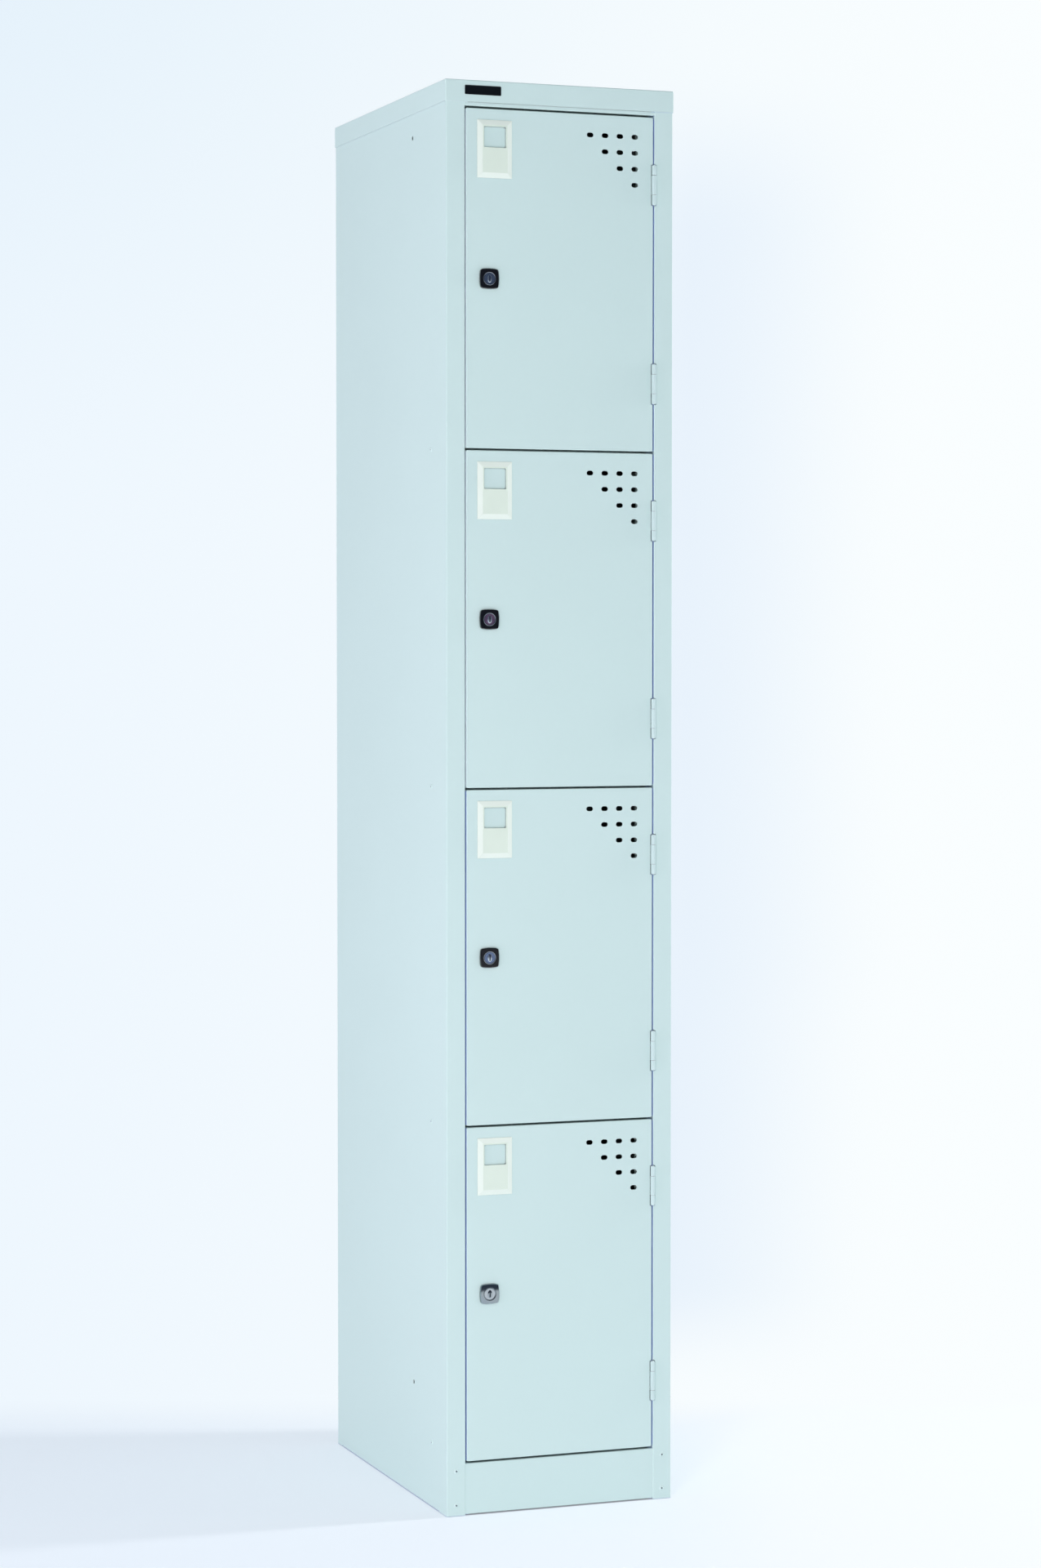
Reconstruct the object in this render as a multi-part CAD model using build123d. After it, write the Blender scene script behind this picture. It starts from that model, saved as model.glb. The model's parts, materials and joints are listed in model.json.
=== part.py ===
from build123d import *
import os

# A single-column steel locker with four tiers, one door and one cam lock to each tier.
# Modelled with the front faces at y = 0, the cabinet behind them along +Y, x = 0 in the
# middle and the floor at z = 0. place_in_frame moves it to the middle of its own box.

# Carcass: its body without the cover's overhang
height = 1800.0
width = 305.0
depth = 457.0
tiers = 4

# Folded sheet steel
sheet = 0.8
bend = 1.4
corner = 2.0
overrun = 1.0
fit = 0.3

# Side panels: front stile, jamb behind it, stop lip, and the flanges round the other edges
stile = 25.0
stop_lip = 10.0
rear_flange = 15.0
edge_flange = 12.0
edge_flange_start = 32.0
edge_flange_end = 22.0
relief_radius = 1.5
join_hole_radius = 2.75
join_hole_y = 130.0
join_hole_low = 147.0
join_hole_below_top = 57.0

# Cover, rail behind its lip, and plinth
cover_lip = 27.0
rail_reveal = 4.75
rail_top_flange = 14.0
plinth_top = 65.75
plinth_lift = 1.0
plinth_foot = 16.0
strike = 10.0
plinth_strike = 12.0

# Doors: folded trays with return lips
side_gap = 1.6
door_gap = 2.5
door_depth = 16.0
door_lip = 18.0
mitre_slit = 0.4
stop_gap = 1.2

# Vent slots: a triangle of rows, the longest at the top, in line at the hinge side
vent_rows = 4
vent_pitch = 20.2
vent_length = 9.0
vent_height = 6.0
vent_from_edge = 25.4
vent_from_top = 26.0

# Shelves
shelf_rise = 14.0
shelf_lip = 25.0
shelf_hem = 8.0
base_rise = 3.2
base_front_lip = 7.5

# Blind rivets, and where they stand
rivet_head_radius = 3.25
rivet_face_radius = 2.2
rivet_head = 1.0
rivet_shank_radius = 1.6
rivet_fit = 0.05
rivet_tail_radius = 2.3
rivet_tail = 3.5
mandrel_radius = 1.0
mandrel_depth = 0.6
side_rivet_y = 58.0
plinth_rivet_inset = 12.5
plinth_rivet_low = 13.5
plinth_rivet_spacing = 43.5
back_rivet_x = 90.0
back_edge_rivets = 4
back_edge_rivet_end = 120.0

# Knuckle hinges
hinge_sheet = 1.4
hinge_height = 51.0
middle_knuckle = 25.0
knuckle_play = 0.3
hinge_proud = 1.2
hinge_reach = 14.4
hinge_from_end = 85.5
pin_fit = 0.05
pin_head_radius = 2.5
pin_head = 1.0
notch_play = 0.6
notch_slope = 0.8

# Cam locks
lock_from_edge = 30.0
bezel_width = 25.0
bezel_bulge = 1.1
bezel_proud = 3.4
bezel_corner = 2.6
bezel_edge = 0.9
lock_recess_radius = 8.6
lock_recess = 0.8
barrel_radius = 9.4
barrel_flat = 8.0
lock_hole_fit = 0.1
plug_head_radius = 7.0
plug_head = 2.3
plug_radius = 6.0
plug_proud = 0.4
plug_fit = 0.06
plug_end_play = 0.1
keyway_width = 1.5
keyway_height = 8.6
keyway_depth = 7.0
nut_width = 24.0
nut_height = 5.0
nut_fit = 0.05
cam_sheet = 1.6
cam_clearance = 0.6
cam_reach = 28.6
cam_radius = 8.0
cam_tip_radius = 4.5
cam_square = 7.0
cam_fit = 0.1
housing_end_play = 0.2
screw_head_radius = 5.0
screw_head = 2.6
screw_radius = 2.5
screw_length = 11.0
screw_fit = 0.05
socket_width = 1.2
socket_depth = 0.9

# Card holders
holder_width = 46.0
holder_height = 72.0
holder_from_edge = 14.5
holder_below_top = 14.0
holder_edge = 0.8
holder_proud = 2.8
holder_bevel = 6.5
window_width = 29.4
window_height = 26.0
window_below_top = 8.2
window_corner = 1.2
pocket_depth = 1.0
pocket_margin = 3.0
peg_radius = 1.5
peg_length = 3.2
peg_fit = 0.1
peg_from_end = 17.0

# Places that follow from the sizes above
half_width = width / 2
cover_gap = fit + sheet
rail_bottom = height - cover_lip - rail_reveal
door_width = width - 2 * (stile + side_gap)
door_height = (rail_bottom - plinth_top - (tiers + 1) * door_gap) / tiers
door_pitch = door_height + door_gap
stop_face = door_depth + stop_gap
stop_back = stop_face + sheet
back_face = depth - 2 * sheet
panel_top = height - sheet - fit
hinge_radius = side_gap / 2 + sheet + hinge_sheet
hinge_x = half_width - stile - side_gap / 2
hinge_offsets = (door_height / 2 - hinge_from_end, hinge_from_end - door_height / 2)
lock_x = lock_from_edge - door_width / 2
cam_front = stop_back + cam_clearance
cam_back = cam_front + cam_sheet
holder_x = holder_from_edge + holder_width / 2 - door_width / 2
inner_rim = half_width - stile - stop_lip
front_reach = hinge_proud + hinge_radius
box_middle_y = (depth + cover_gap - front_reach) / 2
place_in_frame = Pos(0, -box_middle_y, 0)

ALONG_X = Rot(0, 90, 0)
ALONG_Y = Rot(-90, 0, 0)
FROM_BOTTOM = (Align.CENTER, Align.CENTER, Align.MIN)
FROM_CORNER = (Align.MIN, Align.MIN, Align.MIN)


def door_middle(tier):
    """Height of the middle of a tier's door; tier 1 is the top one."""
    return plinth_top + door_gap + door_height / 2 + (tiers - tier) * door_pitch


def gap_level(tier):
    """Middle of the gap below a tier's door."""
    return door_middle(tier) - door_pitch / 2


def shelf_top(tier):
    """Upper face of the shelf that carries a tier; the lowest tier stands on the base shelf."""
    if tier == tiers:
        return gap_level(tier) + base_rise + sheet
    return gap_level(tier) + shelf_rise


def side_rivet_level(tier):
    """Height of the side rivets of the shelf under a tier, at the middle of its flange."""
    if tier == tiers:
        return gap_level(tier) + base_rise + shelf_lip / 2
    return shelf_top(tier) - shelf_lip / 2


def span(x0, x1, y0, y1, z0, z1):
    """Box between two corners."""
    return Pos(x0, y0, z0) * Box(x1 - x0, y1 - y0, z1 - z0, align=FROM_CORNER)


def folded(points, radii, side, length):
    """Sheet folded along a path on the XY plane, its thickness on one side, extruded along +Z."""
    path = FilletPolyline(*points, radius=radii).wire()
    outline = path.offset_2d(sheet, kind=Kind.ARC, side=side, closed=True)
    return extrude(Face(outline), length, dir=(0, 0, 1))


def rounded_block(size_x, size_y, size_z, corner_radius, edge_radius, both_ends):
    """Block on z = 0 with rounded upright edges, and rounded edges at its foot or both ends."""
    block = Box(size_x, size_y, size_z, align=FROM_BOTTOM)
    block = fillet(block.edges().filter_by(Axis.Z), corner_radius)
    ends = block.faces().filter_by(Axis.Z).sort_by(Axis.Z)
    edges = ends[0].edges() + ends[-1].edges() if both_ends else ends[0].edges()
    return fillet(edges, edge_radius)


def pan(size_x, size_y, rise, corner_radius):
    """Open tray of folded sheet: floor at z = 0, walls up."""
    inner_x = size_x - 2 * sheet
    inner_y = size_y - 2 * sheet
    outer = rounded_block(size_x, size_y, rise, corner_radius, bend, False)
    hollow = rounded_block(inner_x, inner_y, rise, corner_radius - sheet, bend - sheet, False)
    return outer - Pos(0, 0, sheet) * hollow


def through_side(radius, y, z):
    """Round cutter along X through a side panel and the flange behind it, on the left."""
    cutter = Cylinder(radius, 2 * (2 * sheet + overrun))
    return Pos(-half_width, y, z) * ALONG_X * cutter


def through_wall(radius, x, y, z):
    """Round cutter along Y through the sheets at y."""
    return Pos(x, y, z) * ALONG_Y * Cylinder(radius, 2 * (2 * sheet + overrun))


def both_sides(cutters):
    """Cutters and their mirror images on the other side."""
    return cutters + [mirror(one, about=Plane.YZ) for one in cutters]


def rivet():
    """Blind rivet along Z: head below z = 0, shank through two sheets, tail beyond them."""
    grip = 2 * sheet
    head = Cone(rivet_face_radius, rivet_head_radius, rivet_head, align=FROM_BOTTOM)
    head -= Cylinder(mandrel_radius, mandrel_depth, align=FROM_BOTTOM)
    body = Pos(0, 0, -rivet_head) * head
    body += Cylinder(rivet_shank_radius, grip, align=FROM_BOTTOM)
    return body + Pos(0, 0, grip) * Cylinder(rivet_tail_radius, rivet_tail, align=FROM_BOTTOM)


def shelf_rivet_holes():
    """Cutters for the rivets between the sides and the shelves."""
    radius = rivet_shank_radius + rivet_fit
    levels = [side_rivet_level(tier) for tier in range(1, tiers + 1)]
    return both_sides([through_side(radius, side_rivet_y, level) for level in levels])


def back_shelf_places():
    """Places of the rivets between the back panel and the shelves."""
    levels = [side_rivet_level(tier) for tier in range(1, tiers + 1)]
    return [(x, level) for level in levels for x in (-back_rivet_x, back_rivet_x)]


def back_edge_places():
    """Places of the rivets between the back panel and the sides' rear flanges."""
    rise = (height - 2 * back_edge_rivet_end) / (back_edge_rivets - 1)
    levels = [back_edge_rivet_end + rise * row for row in range(back_edge_rivets)]
    x = half_width - rear_flange / 2
    return [(side * x, level) for level in levels for side in (-1, 1)]


def plinth_places():
    """Places of the rivets through the stiles into the plinth."""
    x = half_width - plinth_rivet_inset
    levels = (plinth_rivet_low, plinth_rivet_low + plinth_rivet_spacing)
    return [(side * x, level) for level in levels for side in (-1, 1)]


def rivet_cutters(places, y):
    """Round cutters along Y for rivets at the given places."""
    radius = rivet_shank_radius + rivet_fit
    return [through_wall(radius, x, y, z) for x, z in places]


def edge_flange_fold(length):
    """Flange folded inward along a bottom edge, and the strip of wall that carries it."""
    points = ((edge_flange, 0), (0, 0), (0, 2 * bend))
    strip = folded(points, bend, Side.RIGHT, length)
    return Pos(-half_width, length, 0) * Rot(90, 0, 0) * strip


def side_panel():
    """Left side panel: stile, jamb, stop lip and rear flange in one fold, then the end flanges."""
    rim = stile - half_width
    points = (
        (rear_flange - half_width, depth),
        (-half_width, depth),
        (-half_width, 0),
        (rim, 0),
        (rim, stop_face),
        (rim + stop_lip, stop_face),
    )
    panel = folded(points, [bend, bend, bend, bend - sheet], Side.LEFT, panel_top)

    # The jamb stops short of the plinth and of the top rail, which lap behind the stile
    jamb = (rim - bend, rim + stop_lip + overrun, sheet, stop_back + overrun)
    panel -= span(*jamb, -overrun, plinth_top + fit)
    panel -= span(*jamb, rail_bottom - fit, height)

    # Rear flange cut short for the flanges at the top and bottom
    rear = (sheet + bend - half_width, rear_flange + overrun - half_width)
    panel -= span(*rear, depth - 2 * bend, depth + overrun, -overrun, edge_flange)
    panel -= span(*rear, depth - 2 * bend, depth + overrun, panel_top - edge_flange, height)

    # Flanges along the bottom and top edges, with a relief notch at each end
    start = edge_flange_start
    end = depth - edge_flange_end
    flange = Pos(0, start, 0) * edge_flange_fold(end - start)
    wall = (-half_width - overrun, sheet + overrun - half_width)
    panel -= span(*wall, start, end, -overrun, bend)
    panel -= span(*wall, start, end, panel_top - bend, height)
    panel += flange
    panel += Pos(0, 0, panel_top) * mirror(flange, about=Plane.XY)
    for y in (start, end):
        notch = Pos(-half_width, y, 0) * ALONG_X * Cylinder(relief_radius, edge_flange)
        panel -= notch
        panel -= Pos(0, 0, panel_top) * notch

    for level in (join_hole_low, height - join_hole_below_top):
        panel -= through_side(join_hole_radius, join_hole_y, level)
    return panel


def hinge_notch(depth_x, depth_y):
    """Cutter for one hinge in an edge at x = 0, opening towards +X, with sloped ends."""
    half = hinge_height / 2 + knuckle_play
    outline = Polygon(
        (overrun, half + notch_slope),
        (-depth_x, half),
        (-depth_x, -half),
        (overrun, -half - notch_slope),
        align=None,
    )
    cutter = extrude(outline, depth_y + overrun)
    return Pos(0, depth_y, 0) * Rot(90, 0, 0) * cutter


def side_panels():
    """Left and right side panels with their rivet holes; the right one carries the hinges."""
    cutters = shelf_rivet_holes()
    cutters += rivet_cutters(plinth_places(), 0)
    cutters += rivet_cutters(back_edge_places(), depth)
    left = side_panel()
    right = mirror(left, about=Plane.YZ)
    reach = hinge_radius - side_gap / 2 + notch_play
    notch = mirror(hinge_notch(reach, hinge_radius - hinge_proud + notch_play), about=Plane.YZ)
    for tier in range(1, tiers + 1):
        for offset in hinge_offsets:
            right -= Pos(half_width - stile, 0, door_middle(tier) + offset) * notch
    return left - cutters, right - cutters


def back_panel():
    """Flat back, inside the rear flanges."""
    x = half_width - bend - fit
    panel = span(-x, x, back_face, back_face + sheet, plinth_lift, panel_top - sheet - fit)
    panel -= rivet_cutters(back_shelf_places(), back_face)
    return panel - rivet_cutters(back_edge_places(), back_face)


def top_cover():
    """Cover: a tray turned over, its lips outside the carcass on all four sides."""
    size_x = width + 2 * cover_gap
    size_y = depth + 2 * cover_gap
    cover = pan(size_x, size_y, cover_lip, corner)
    return Pos(0, depth / 2, height) * Rot(180, 0, 0) * cover


def top_rail():
    """Rail between the stiles above the top door, with the lip that the door closes on."""
    x = half_width - sheet - bend
    points = (
        (stop_face, rail_bottom - strike),
        (stop_face, rail_bottom),
        (sheet, rail_bottom),
        (sheet, panel_top),
        (rail_top_flange, panel_top),
    )
    fold = folded(points, [bend - sheet, bend, bend], Side.RIGHT, 2 * x)
    rail = Pos(-x, 0, 0) * Plane.YZ.location * fold
    clear = (stop_face - bend, stop_back + overrun)
    low = (rail_bottom - strike - overrun, rail_bottom)
    rail -= span(-x - overrun, fit - inner_rim, *clear, *low)
    return rail - span(inner_rim - fit, x + overrun, *clear, *low)


def plinth():
    """Kick plate lapped behind the stiles, with its foot and the lip for the bottom door."""
    x = half_width - sheet - bend
    points = (
        (plinth_foot, plinth_lift),
        (sheet, plinth_lift),
        (sheet, plinth_top),
        (stop_face, plinth_top),
        (stop_face, plinth_top + plinth_strike),
    )
    fold = folded(points, [bend, bend, bend - sheet], Side.RIGHT, 2 * x)
    plate = Pos(-x, 0, 0) * Plane.YZ.location * fold
    clear = (stop_face - bend, stop_back + overrun)
    high = (plinth_top, plinth_top + plinth_strike + overrun)
    plate -= span(-x - overrun, fit - inner_rim, *clear, *high)
    plate -= span(inner_rim - fit, x + overrun, *clear, *high)
    return plate - rivet_cutters(plinth_places(), sheet)


def shelf_blank():
    """Tray that every shelf is folded from, on z = 0 with its walls up."""
    size_y = back_face - stop_back
    middle = (back_face + stop_back) / 2
    return Pos(0, middle, 0) * pan(width - 2 * sheet, size_y, shelf_lip, bend)


def tier_shelf(tier):
    """Shelf with its flanges down and a hem along the front lip."""
    level = shelf_top(tier)
    shelf = Pos(0, back_face + stop_back, level) * Rot(180, 0, 0) * shelf_blank()
    low = level - shelf_lip
    x = half_width - 2 * sheet - bend
    shelf += span(-x, x, stop_back + sheet / 2, stop_back + shelf_hem, low, low + sheet)
    shelf -= shelf_rivet_holes()
    return shelf - rivet_cutters(back_shelf_places(), back_face)


def base_shelf():
    """Shelf with its flanges up and a low front lip behind the plinth's strike lip."""
    level = gap_level(tiers) + base_rise
    shelf = Pos(0, 0, level) * shelf_blank()
    x = half_width - 2 * sheet
    front = (stop_back - overrun, stop_back + bend)
    shelf -= span(-x, x, *front, level + base_front_lip, level + shelf_lip + overrun)
    shelf -= shelf_rivet_holes()
    return shelf - rivet_cutters(back_shelf_places(), back_face)


def door_panel(tier):
    """Door: a shallow tray with return lips, open at the back, and everything cut in its face."""
    inner = (door_width - 2 * sheet, door_height - 2 * sheet, door_depth - 2 * sheet)
    tray = rounded_block(door_width, door_height, door_depth, corner, bend, True)
    tray -= Pos(0, 0, sheet) * rounded_block(*inner, corner - sheet, bend - sheet, True)
    open_x = door_width - 2 * door_lip
    open_y = door_height - 2 * door_lip
    back = Pos(0, 0, door_depth)
    tray -= back * Box(open_x, open_y, 2 * (sheet + fit))
    for side_x in (-1, 1):
        for side_y in (-1, 1):
            slit = Box(2 * door_lip, mitre_slit, 2 * (sheet + fit))
            turn = Rot(0, 0, 45 * side_x * side_y)
            corner_x = side_x * (open_x + door_lip) / 2
            corner_y = side_y * (open_y + door_lip) / 2
            tray -= back * Pos(corner_x, corner_y, 0) * turn * slit
    door = ALONG_Y * tray

    # Vent slots
    slot = extrude(Plane.XZ * SlotOverall(vent_length, vent_height), bend, both=True)
    right_x = door_width / 2 - vent_from_edge
    top_z = door_height / 2 - vent_from_top
    for row in range(vent_rows):
        for column in range(vent_rows - row):
            door -= Pos(right_x - column * vent_pitch, 0, top_z - row * vent_pitch) * slot

    # Lock hole with two flats, holder peg holes, and a notch for each hinge
    door -= Pos(lock_x, 0, 0) * lock_barrel(lock_hole_fit, -overrun, sheet + overrun)
    for x, z in peg_places():
        door -= through_wall(peg_radius + peg_fit, x, 0, z)
    reach = hinge_radius - side_gap / 2 + notch_play
    notch = hinge_notch(reach, hinge_radius - hinge_proud + notch_play)
    for offset in hinge_offsets:
        door -= Pos(door_width / 2, 0, offset) * notch
    return Pos(0, 0, door_middle(tier)) * door


def hinge_leaf(knuckles):
    """Leaf on the +X side of the hinge axis, with knuckles between the given levels."""
    inside = hinge_radius - hinge_sheet
    root = hinge_radius + notch_play
    reach = hinge_reach + hinge_proud
    half = hinge_height / 2
    leaf = span(inside, hinge_radius, root, reach, -half, half)
    for low, high in knuckles:
        leaf += span(inside, hinge_radius, 0, root, low, high)
        barrel = Cylinder(hinge_radius, high - low, align=FROM_BOTTOM)
        leaf += Pos(0, 0, low) * barrel
    return leaf - Cylinder(inside, hinge_height + overrun)


def at_hinges(tier, shape):
    """A shape at each of a door's two hinges, as one group."""
    levels = [door_middle(tier) + offset for offset in hinge_offsets]
    return Compound([Pos(hinge_x, -hinge_proud, level) * shape for level in levels])


def frame_leaves(tier):
    """Hinge leaves behind the right jamb, with the outer knuckles."""
    half = (hinge_height - 2 * pin_head) / 2
    inner = middle_knuckle / 2
    return at_hinges(tier, hinge_leaf(((-half, -inner), (inner, half))))


def door_leaves(tier):
    """Hinge leaves inside the door's edge, with the middle knuckle."""
    half = middle_knuckle / 2 - knuckle_play
    return at_hinges(tier, mirror(hinge_leaf(((-half, half),)), about=Plane.YZ))


def hinge_pins(tier):
    """Pins with a chamfered head at each end of the barrel."""
    inside = hinge_radius - hinge_sheet
    pin = Cylinder(inside - pin_fit, hinge_height - pin_head)
    low = hinge_height / 2 - pin_head
    head = Cone(pin_head_radius, inside, pin_head, align=FROM_BOTTOM)
    pin += Pos(0, 0, low) * head
    pin += Pos(0, 0, -low) * Rot(180, 0, 0) * head
    return at_hinges(tier, pin)


def lock_barrel(extra, y0, y1):
    """Round barrel with two upright flats, between two depths."""
    radius = barrel_radius + extra
    barrel = Cylinder(radius, y1 - y0, align=FROM_BOTTOM)
    flats = Box(2 * (barrel_flat + extra), 2 * radius, y1 - y0, align=FROM_BOTTOM)
    return Pos(0, y0, 0) * ALONG_Y * (barrel & flats)


def turned(radius, y0, y1):
    """Cylinder along Y between two depths."""
    return Pos(0, y0, 0) * ALONG_Y * Cylinder(radius, y1 - y0, align=FROM_BOTTOM)


def at_lock(tier, shape):
    """A shape at the lock of a tier's door."""
    return Pos(lock_x, 0, door_middle(tier)) * shape


def lock_housing(tier):
    """Square face with bulged sides, and the barrel that goes through the door."""
    half = bezel_width / 2
    tip = half - bezel_bulge
    sides = [
        ThreePointArc((-tip, -tip), (0, -half), (tip, -tip)),
        ThreePointArc((tip, -tip), (half, 0), (tip, tip)),
        ThreePointArc((tip, tip), (0, half), (-tip, tip)),
        ThreePointArc((-tip, tip), (-half, 0), (-tip, -tip)),
    ]
    outline = make_face(sides)
    outline = fillet(outline.vertices(), bezel_corner)
    face = extrude(outline, bezel_proud)
    face = fillet(face.faces().sort_by(Axis.Z)[-1].edges(), bezel_edge)
    bezel = Rot(90, 0, 0) * face
    floor = lock_recess - bezel_proud
    step = plug_head - plug_proud + plug_end_play + floor
    housing = bezel + lock_barrel(0, 0, cam_front - housing_end_play)
    housing -= turned(lock_recess_radius, -bezel_proud - overrun, floor)
    housing -= turned(plug_head_radius + plug_fit, -bezel_proud, step)
    housing -= turned(plug_radius + plug_fit, -bezel_proud, cam_back)
    return at_lock(tier, housing)


def lock_nut(tier):
    """Nut on the barrel, against the inside of the door's face."""
    blank = RegularPolygon(nut_width / 2, 6, major_radius=False)
    nut = Pos(0, sheet, 0) * ALONG_Y * extrude(blank, nut_height)
    return at_lock(tier, nut - turned(barrel_radius + nut_fit, 0, sheet + nut_height + overrun))


def lock_plug(tier):
    """Turning plug with an upright keyway, a square tail and a hole for the cam screw."""
    front = lock_recess - bezel_proud - plug_proud
    half = cam_square / 2
    plug = turned(plug_head_radius, front, front + plug_head)
    plug += turned(plug_radius, front + plug_head, cam_front)
    plug += span(-half, half, cam_front, cam_back - cam_fit, -half, half)
    keyway = span(-keyway_width / 2, keyway_width / 2, front - overrun, front + keyway_depth,
                  -keyway_height / 2, keyway_height / 2)
    plug -= keyway
    hole = turned(screw_radius + screw_fit, cam_back - screw_length, cam_back + overrun)
    return at_lock(tier, plug - hole)


def lock_cam(tier):
    """Cam that hangs down when the lock is open and turns behind the left stop lip."""
    tip = cam_reach - cam_tip_radius
    plate = make_hull((Circle(cam_radius) + Pos(0, tip) * Circle(cam_tip_radius)).edges())
    half = cam_square / 2 + cam_fit
    cam = Pos(0, cam_front, 0) * ALONG_Y * extrude(plate, cam_sheet)
    return at_lock(tier, cam - span(-half, half, cam_front - overrun, cam_back + overrun, -half, half))


def cam_screw(tier):
    """Screw with a slotted head that holds the cam on the plug's tail."""
    screw = turned(screw_radius, cam_back - screw_length + overrun, cam_back)
    screw += turned(screw_head_radius, cam_back, cam_back + screw_head)
    half = socket_width / 2
    top = cam_back + screw_head
    slot = span(-half, half, top - socket_depth, top + overrun, -screw_head_radius, screw_head_radius)
    return at_lock(tier, screw - slot)


def peg_places():
    """Places of the holder's two pegs, from the middle of the door."""
    middle = door_height / 2 - holder_below_top - holder_height / 2
    rise = holder_height / 2 - peg_from_end / 2
    return [(holder_x, middle + rise - window_height - window_below_top), (holder_x, middle - rise)]


def card_holder(tier):
    """Moulded holder with bevelled edges, a window, a pocket for the card and two pegs."""
    flat_x = holder_width - 2 * holder_bevel
    flat_z = holder_height - 2 * holder_bevel
    rim = extrude(Rectangle(holder_width, holder_height), holder_edge)
    foot = Pos(0, 0, holder_edge) * Rectangle(holder_width, holder_height)
    bevelled = loft([foot, Pos(0, 0, holder_proud) * Rectangle(flat_x, flat_z)], ruled=True)
    window_z = holder_height / 2 - window_below_top - window_height / 2
    window = RectangleRounded(window_width, window_height, window_corner)
    pocket_x = window_width + 2 * pocket_margin
    pocket_z = window_height + 2 * pocket_margin
    holder = rim + bevelled
    holder -= Pos(0, window_z, 0) * extrude(window, holder_proud + overrun)
    holder -= Pos(0, window_z, 0) * Box(pocket_x, pocket_z, 2 * pocket_depth)
    middle = door_height / 2 - holder_below_top - holder_height / 2
    holder = Pos(holder_x, 0, middle) * Rot(90, 0, 0) * holder
    for x, z in peg_places():
        holder += Pos(x, 0, z) * turned(peg_radius, -holder_edge, peg_length)
    return Pos(0, 0, door_middle(tier)) * holder


def side_rivets():
    """Rivets through both sides into every shelf."""
    levels = [side_rivet_level(tier) for tier in range(1, tiers + 1)]
    left = [Pos(-half_width, side_rivet_y, level) * ALONG_X * rivet() for level in levels]
    return Compound(both_sides(left))


def front_or_back_rivets(places, y, turn):
    """Rivets along Y at the given places, as one group."""
    return Compound([Pos(x, y, z) * turn * rivet() for x, z in places])


def all_pieces():
    """Every piece of the locker by name."""
    left, right = side_panels()
    pieces = {
        "left_side_panel": left,
        "right_side_panel": right,
        "back_panel": back_panel(),
        "top_cover": top_cover(),
        "top_rail": top_rail(),
        "plinth": plinth(),
        "base_shelf": base_shelf(),
        "side_rivets": side_rivets(),
        "plinth_rivets": front_or_back_rivets(plinth_places(), 0, ALONG_Y),
        "back_shelf_rivets": front_or_back_rivets(back_shelf_places(), back_face + sheet, Rot(90, 0, 0)),
        "back_edge_rivets": front_or_back_rivets(back_edge_places(), depth, Rot(90, 0, 0)),
    }
    for tier in range(1, tiers):
        pieces[f"shelf_{tier}"] = tier_shelf(tier)
    for tier in range(1, tiers + 1):
        pieces[f"hinge_frame_leaves_{tier}"] = frame_leaves(tier)
        pieces[f"hinge_pins_{tier}"] = hinge_pins(tier)
        pieces[f"door_panel_{tier}"] = door_panel(tier)
        pieces[f"hinge_door_leaves_{tier}"] = door_leaves(tier)
        pieces[f"card_holder_{tier}"] = card_holder(tier)
        pieces[f"lock_housing_{tier}"] = lock_housing(tier)
        pieces[f"lock_nut_{tier}"] = lock_nut(tier)
        pieces[f"lock_plug_{tier}"] = lock_plug(tier)
        pieces[f"lock_cam_{tier}"] = lock_cam(tier)
        pieces[f"cam_screw_{tier}"] = cam_screw(tier)
    return pieces


os.makedirs("parts", exist_ok=True)
for name, piece in all_pieces().items():
    export_step(place_in_frame * piece, f"parts/{name}.step")
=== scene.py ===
"""Looks of the four-tier locker: finishes, small fittings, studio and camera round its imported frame."""

import json
import logging
import math
from abc import ABC, abstractmethod
from collections.abc import Callable, Iterable, Iterator
from contextlib import contextmanager
from dataclasses import dataclass
from enum import Enum
from functools import partial, reduce
from typing import Any, ClassVar

import bmesh
import bpy
from mathutils import Color, Matrix, Vector


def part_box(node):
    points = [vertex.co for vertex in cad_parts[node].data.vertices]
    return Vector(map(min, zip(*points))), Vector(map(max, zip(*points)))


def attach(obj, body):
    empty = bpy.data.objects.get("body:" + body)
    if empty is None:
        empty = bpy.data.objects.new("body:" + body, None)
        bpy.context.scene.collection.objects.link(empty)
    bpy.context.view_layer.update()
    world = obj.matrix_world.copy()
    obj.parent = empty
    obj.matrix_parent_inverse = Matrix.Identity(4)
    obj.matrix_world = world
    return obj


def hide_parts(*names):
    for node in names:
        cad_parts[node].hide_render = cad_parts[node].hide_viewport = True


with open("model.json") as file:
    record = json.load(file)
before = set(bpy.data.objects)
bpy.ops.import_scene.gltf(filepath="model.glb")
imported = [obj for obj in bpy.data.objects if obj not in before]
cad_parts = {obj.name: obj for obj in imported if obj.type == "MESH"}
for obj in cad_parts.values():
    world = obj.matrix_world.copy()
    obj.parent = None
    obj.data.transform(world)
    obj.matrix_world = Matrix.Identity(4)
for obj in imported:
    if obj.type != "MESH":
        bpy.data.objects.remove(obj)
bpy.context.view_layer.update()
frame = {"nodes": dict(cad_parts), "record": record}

log = logging.getLogger("locker")

# A millimetre in metres, the unit of every size here
MM = 0.001
TIERS = 4
# How far the camera looks to the right, in radians
VIEW_TURN = 0.3543
# Least cosine between two directions that count as one
ALIGNED = 0.99
# Least angle in degrees of an edge that counts as sharp
SHARP_ANGLE = 30.0
CORNER_STEPS = 5
MERGE_REACH = 0.001 * MM
FULL_SCREEN_VALUE = 255

# Places of a Mix node's sockets for colours
MIX_SHARE, MIX_FIRST, MIX_SECOND, MIX_RESULT = 0, 6, 7, 2

Colour = tuple[float, float, float]
PartTest = Callable[[Any], bool]
Piece = bpy.types.Object
Socket = bpy.types.NodeSocket


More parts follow.
